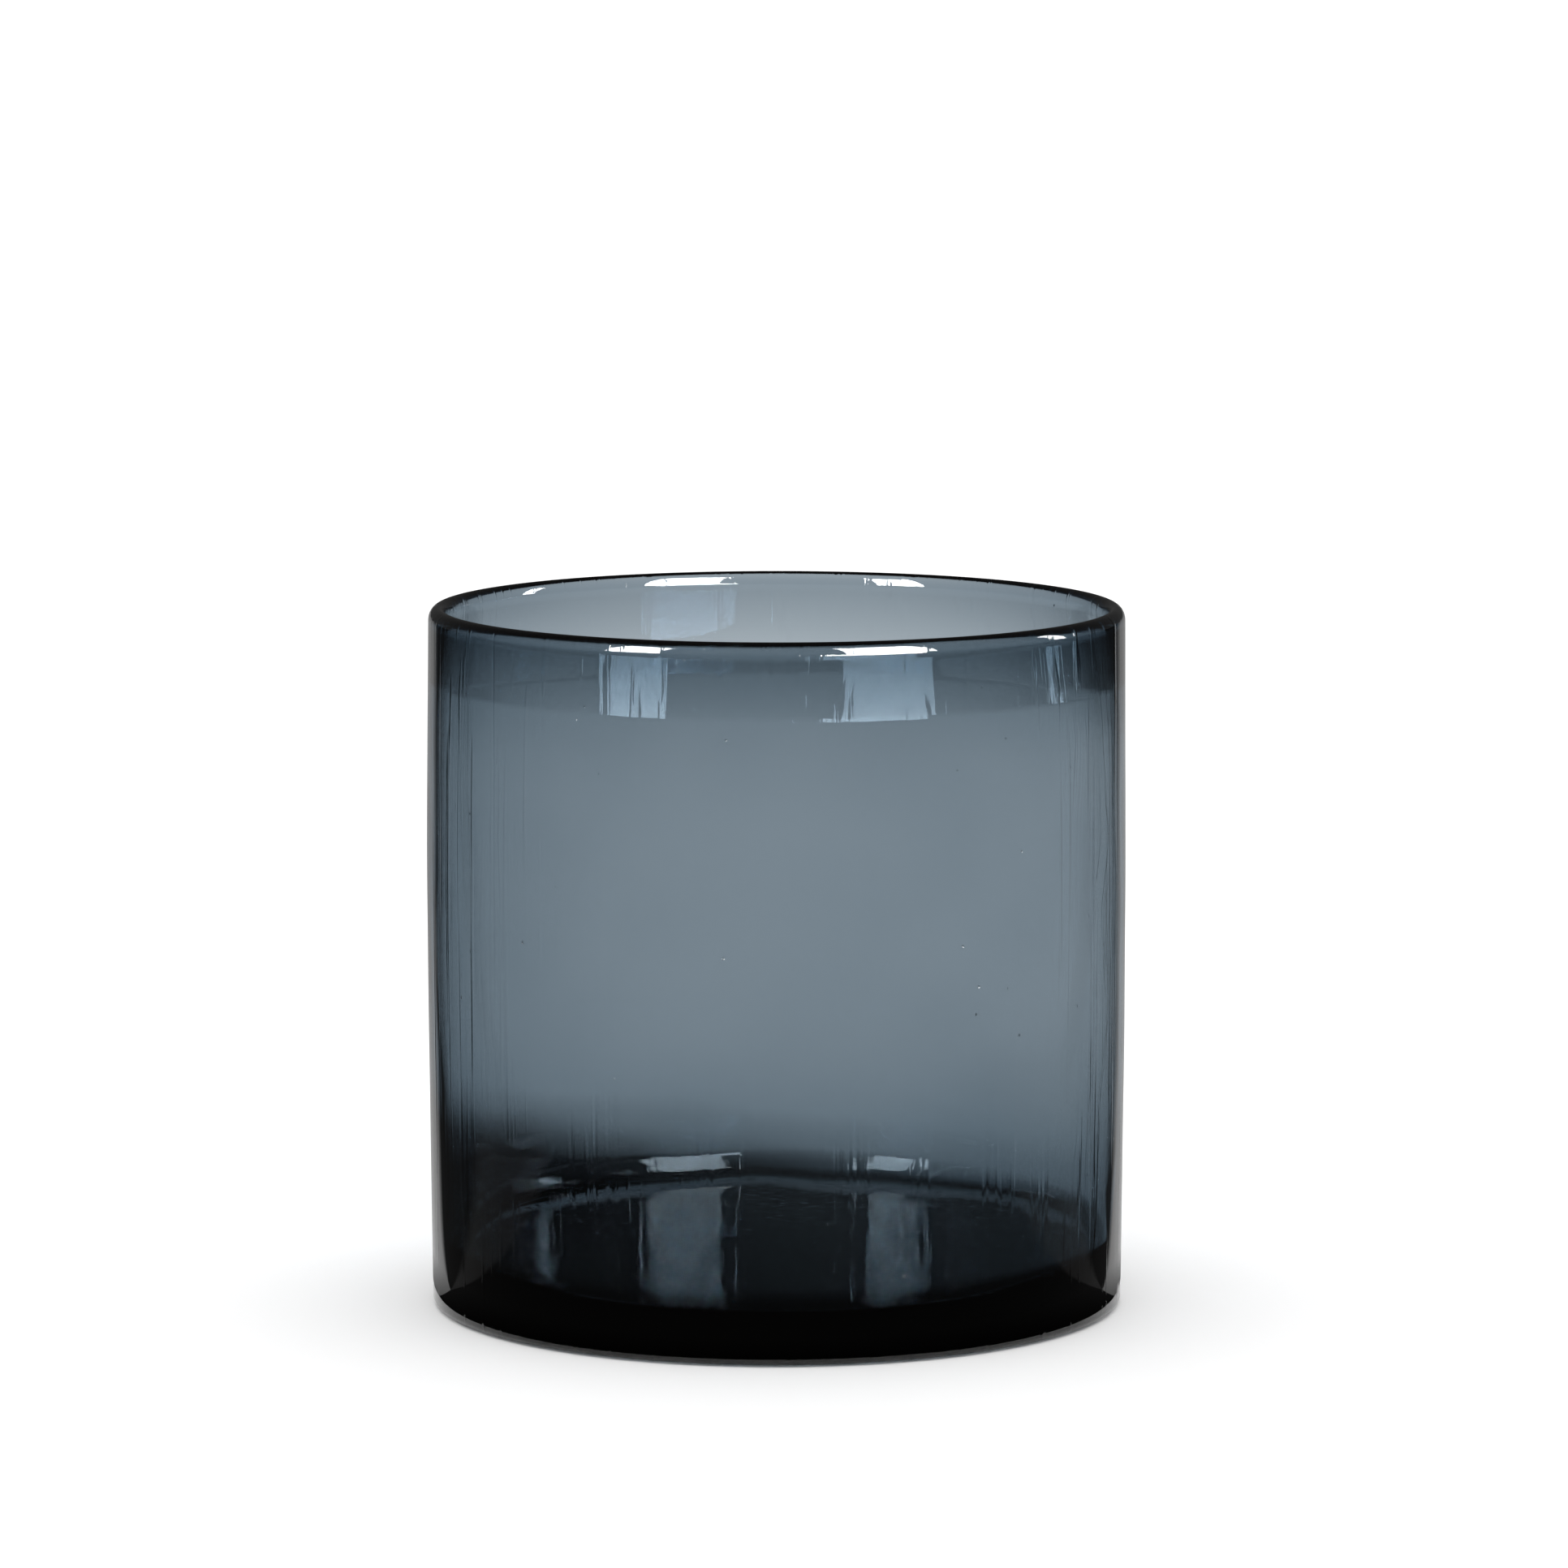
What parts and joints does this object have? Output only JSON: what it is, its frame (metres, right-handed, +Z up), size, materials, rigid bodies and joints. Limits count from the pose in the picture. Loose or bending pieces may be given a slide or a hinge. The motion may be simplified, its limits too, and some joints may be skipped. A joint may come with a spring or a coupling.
{
  "type": "glass cylinder vase",
  "caption": "Straight cylinder vase of dark smoke-blue blown glass, as wide as it is tall, with a rounded fire-polished rim and a thick heavy base.",
  "frame": {"origin": "centre of the vase's axis on the plane it stands on", "axes": "+Z up along the vase's axis, out of its mouth; X and Y are equivalent, because the vase is round"},
  "size_m": [0.2018, 0.2018, 0.202],
  "materials": {
    "smoke_blue_glass": "through-coloured dark smoke-blue soda-lime glass, gloss, fire-polished, clear enough to see through both walls and almost black in the thick base"
  },
  "bodies": {
    "root": {"vase_body": "smoke_blue_glass"}
  },
  "joints": []
}
